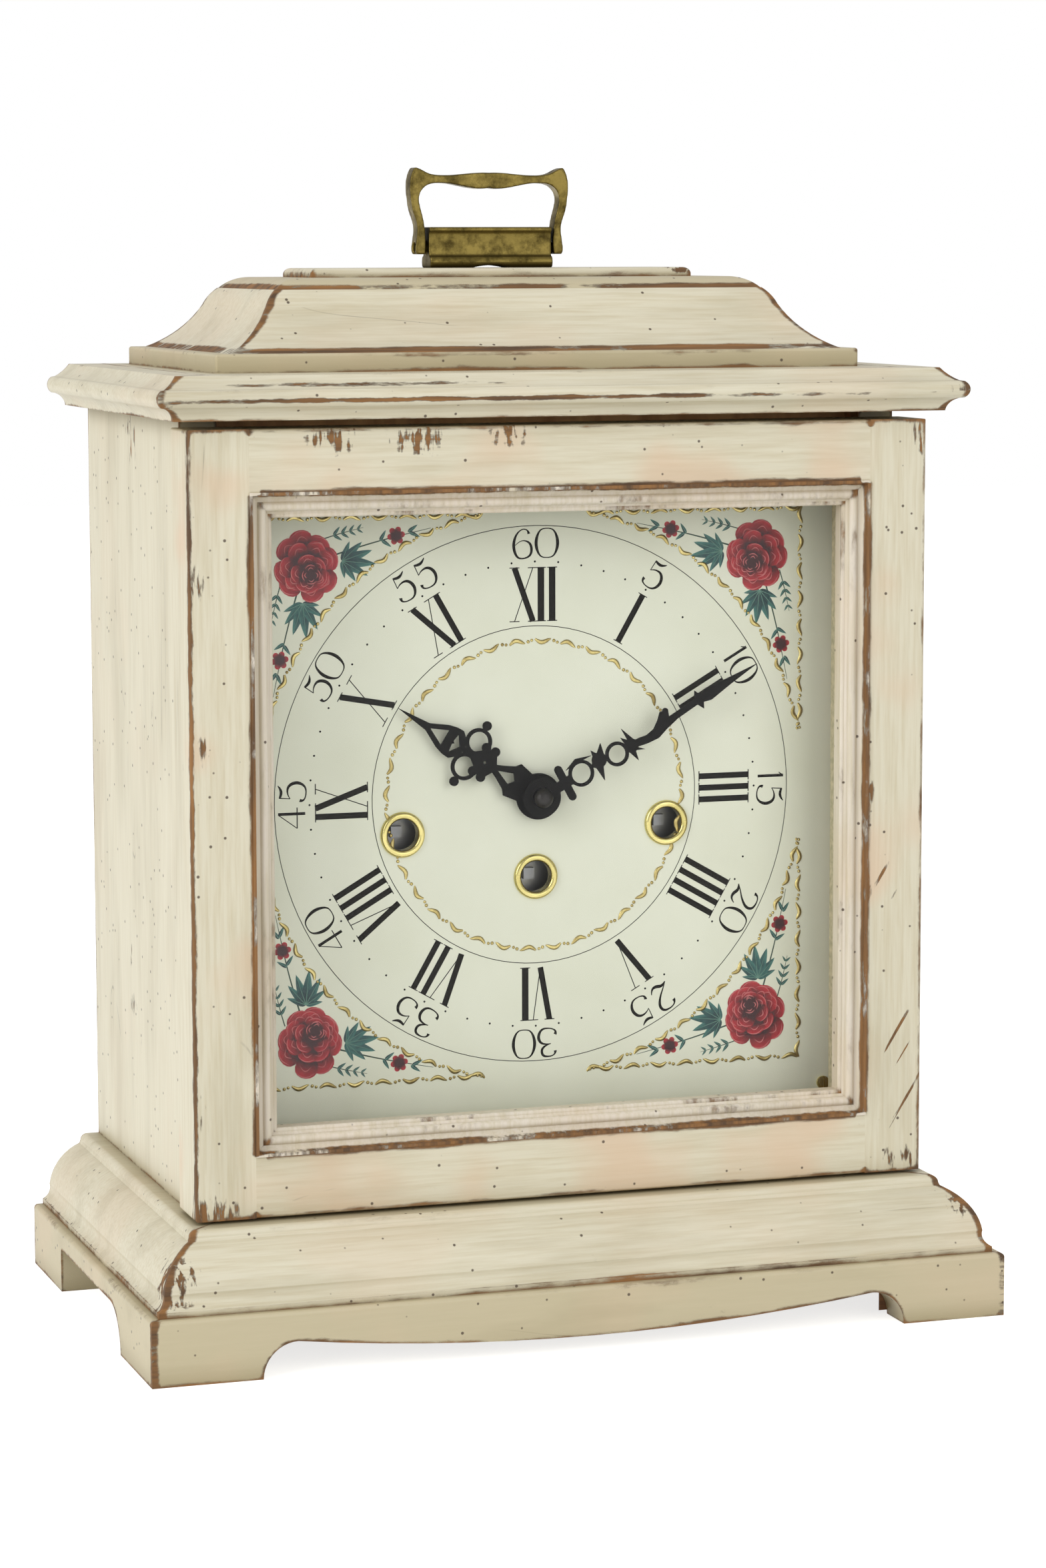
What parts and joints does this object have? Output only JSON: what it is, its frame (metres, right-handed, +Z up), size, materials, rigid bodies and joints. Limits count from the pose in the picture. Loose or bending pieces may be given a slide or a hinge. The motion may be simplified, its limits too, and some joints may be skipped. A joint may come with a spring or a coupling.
{
  "type": "bell-top bracket clock",
  "caption": "Bracket clock in a distressed cream wooden case: glazed front door, moulded plinth on bracket feet, cornice, bell top with brass bail handle, painted dial, spring movement.",
  "frame": {"origin": "middle of the footprint, on the surface that the clock stands on", "axes": "+Z up, the dial faces -Y, +X is to the right of someone facing the dial"},
  "size_m": [0.261, 0.159, 0.3414],
  "materials": {
    "painted_wood": "distressed cream paint over wood",
    "plain_wood": "plain stained wood and plywood",
    "door_glass": "clear flat glass",
    "dial_enamel": "printed cream dial",
    "black_metal": "matt black steel hands",
    "steel": "turned steel",
    "brass": "aged brass",
    "cast_iron": "rough iron"
  },
  "bodies": {
    "clock_case": {"base_skirt": "painted_wood", "skirt_rear": "painted_wood", "corner_blocks": "plain_wood", "base_moulding": "painted_wood", "case_floor": "plain_wood", "case_side_left": "painted_wood", "case_side_right": "painted_wood", "case_top": "painted_wood", "cornice_moulding": "painted_wood", "bell_band": "painted_wood", "bell_moulding": "painted_wood", "bell_lid": "painted_wood", "bell_pad": "painted_wood", "dial_board": "plain_wood", "handle_bracket": "brass", "handle_screws": "steel", "door_catch": "brass", "case_hinge_leaves": "brass", "dial_plate": "dial_enamel", "dial_screws": "steel", "winding_grommets": "brass", "front_plate": "brass", "back_plate": "brass", "plate_pillars": "brass", "balance_cock": "brass", "clicks": "steel", "chime_rods": "steel", "rod_block": "cast_iron"},
    "front_door": {"door_stile_left": "painted_wood", "door_stile_right": "painted_wood", "door_rail_top": "painted_wood", "door_rail_bottom": "painted_wood", "door_moulding": "painted_wood", "door_glass": "door_glass", "glass_beads": "plain_wood", "door_hinge_leaves": "brass"},
    "rear_door": {"back_door": "plain_wood", "back_hinge_leaves": "brass"},
    "turn_button": {"back_latch": "brass"},
    "bail": {"handle_bail": "brass"},
    "chime_lever": {"silent_lever": "brass"},
    "minute_hand_set": {"cannon_pinion": "brass", "minute_hand": "black_metal", "hand_nut": "brass"},
    "minute_wheel_set": {"minute_wheel": "brass"},
    "hour_hand_set": {"hour_wheel": "brass", "hour_hand": "black_metal"},
    "third_arbor": {"third_wheel": "brass"},
    "centre_arbor": {"centre_wheel": "brass"},
    "second_arbor": {"second_wheel": "brass"},
    "time_barrel_body": {"time_barrel": "brass"},
    "escape_arbor": {"escape_wheel": "brass"},
    "balance": {"balance_wheel": "brass"},
    "time_winder": {"time_winding_arbor": "steel"},
    "strike_winder": {"strike_winding_arbor": "steel"},
    "chime_winder": {"chime_winding_arbor": "steel"},
    "strike_barrel_body": {"strike_barrel": "brass"},
    "chime_barrel_body": {"chime_barrel": "brass"},
    "pin_drum": {"chime_drum": "brass"},
    "hammer_set": {"chime_hammers": "steel"}
  },
  "joints": [
    {"name": "front_door_hinge", "type": "hinge", "parent": "clock_case", "child": "front_door", "pos_m": [0.1143, -0.03835, 0.15], "axis": [0, 0, 1], "range_deg": [0, 110]},
    {"name": "rear_door_hinge", "type": "hinge", "parent": "clock_case", "child": "rear_door", "pos_m": [0.09617, 0.07745, 0.15], "axis": [0, 0, -1], "range_deg": [0, 110]},
    {"name": "turn_button_pivot", "type": "hinge", "parent": "rear_door", "child": "turn_button", "pos_m": [-0.0856, 0.0755, 0.1551], "axis": [0, 1, 0], "range_deg": [0, 90]},
    {"name": "bail_pivot", "type": "hinge", "parent": "clock_case", "child": "bail", "pos_m": [0, 0.0162, 0.3174], "axis": [1, 0, 0], "range_deg": [-98, 98]},
    {"name": "chime_lever_pivot", "type": "hinge", "parent": "clock_case", "child": "chime_lever", "pos_m": [-0.0595, 0, 0.1563], "axis": [0, 1, 0], "range_deg": [-12, 12]},
    {"name": "minute_hand_turn", "type": "hinge", "parent": "clock_case", "child": "minute_hand_set", "pos_m": [0, 0, 0.1563], "axis": [0, 1, 0], "continuous": true},
    {"name": "minute_wheel_turn", "type": "hinge", "parent": "clock_case", "child": "minute_wheel_set", "pos_m": [0.00688, 0, 0.16613], "axis": [0, 1, 0], "continuous": true},
    {"name": "hour_hand_turn", "type": "hinge", "parent": "clock_case", "child": "hour_hand_set", "pos_m": [0, 0, 0.1563], "axis": [0, 1, 0], "continuous": true},
    {"name": "third_wheel_turn", "type": "hinge", "parent": "clock_case", "child": "third_arbor", "pos_m": [-0.00837, 0, 0.16702], "axis": [0, 1, 0], "continuous": true},
    {"name": "centre_wheel_turn", "type": "hinge", "parent": "clock_case", "child": "centre_arbor", "pos_m": [0, 0, 0.1563], "axis": [0, 1, 0], "continuous": true},
    {"name": "second_wheel_turn", "type": "hinge", "parent": "clock_case", "child": "second_arbor", "pos_m": [0.01331, 0, 0.15197], "axis": [0, 1, 0], "continuous": true},
    {"name": "time_barrel_turn", "type": "hinge", "parent": "clock_case", "child": "time_barrel_body", "pos_m": [0, 0, 0.132], "axis": [0, 1, 0], "continuous": true},
    {"name": "escape_wheel_turn", "type": "hinge", "parent": "clock_case", "child": "escape_arbor", "pos_m": [-0.00502, 0, 0.17954], "axis": [0, 1, 0], "continuous": true},
    {"name": "balance_swing", "type": "hinge", "parent": "clock_case", "child": "balance", "pos_m": [0.00182, 0, 0.18349], "axis": [0, 1, 0], "range_deg": [-135, 135]},
    {"name": "time_winding", "type": "hinge", "parent": "clock_case", "child": "time_winder", "pos_m": [0, 0, 0.132], "axis": [0, 1, 0], "continuous": true},
    {"name": "strike_winding", "type": "hinge", "parent": "clock_case", "child": "strike_winder", "pos_m": [-0.0412, 0, 0.1463], "axis": [0, 1, 0], "continuous": true},
    {"name": "chime_winding", "type": "hinge", "parent": "clock_case", "child": "chime_winder", "pos_m": [0.0412, 0, 0.1463], "axis": [0, 1, 0], "continuous": true},
    {"name": "strike_barrel_turn", "type": "hinge", "parent": "clock_case", "child": "strike_barrel_body", "pos_m": [-0.0412, 0, 0.1463], "axis": [0, 1, 0], "continuous": true},
    {"name": "chime_barrel_turn", "type": "hinge", "parent": "clock_case", "child": "chime_barrel_body", "pos_m": [0.0412, 0, 0.1463], "axis": [0, 1, 0], "continuous": true},
    {"name": "pin_drum_turn", "type": "hinge", "parent": "clock_case", "child": "pin_drum", "pos_m": [0.03197, 0, 0.17167], "axis": [0, 1, 0], "continuous": true},
    {"name": "hammer_lift", "type": "hinge", "parent": "clock_case", "child": "hammer_set", "pos_m": [0.036, 0, 0.106], "axis": [0, -1, 0], "range_deg": [0, 8]}
  ],
  "couplings": [
    {"joint": "minute_wheel_turn", "follows": "minute_hand_turn", "ratio": -0.33333},
    {"joint": "hour_hand_turn", "follows": "minute_hand_turn", "ratio": 0.083333},
    {"joint": "centre_wheel_turn", "follows": "third_wheel_turn", "ratio": -0.13333},
    {"joint": "second_wheel_turn", "follows": "third_wheel_turn", "ratio": 0.022222},
    {"joint": "time_barrel_turn", "follows": "third_wheel_turn", "ratio": -0.0031746},
    {"joint": "escape_wheel_turn", "follows": "third_wheel_turn", "ratio": -8},
    {"joint": "pin_drum_turn", "follows": "chime_barrel_turn", "ratio": -3.5}
  ]
}
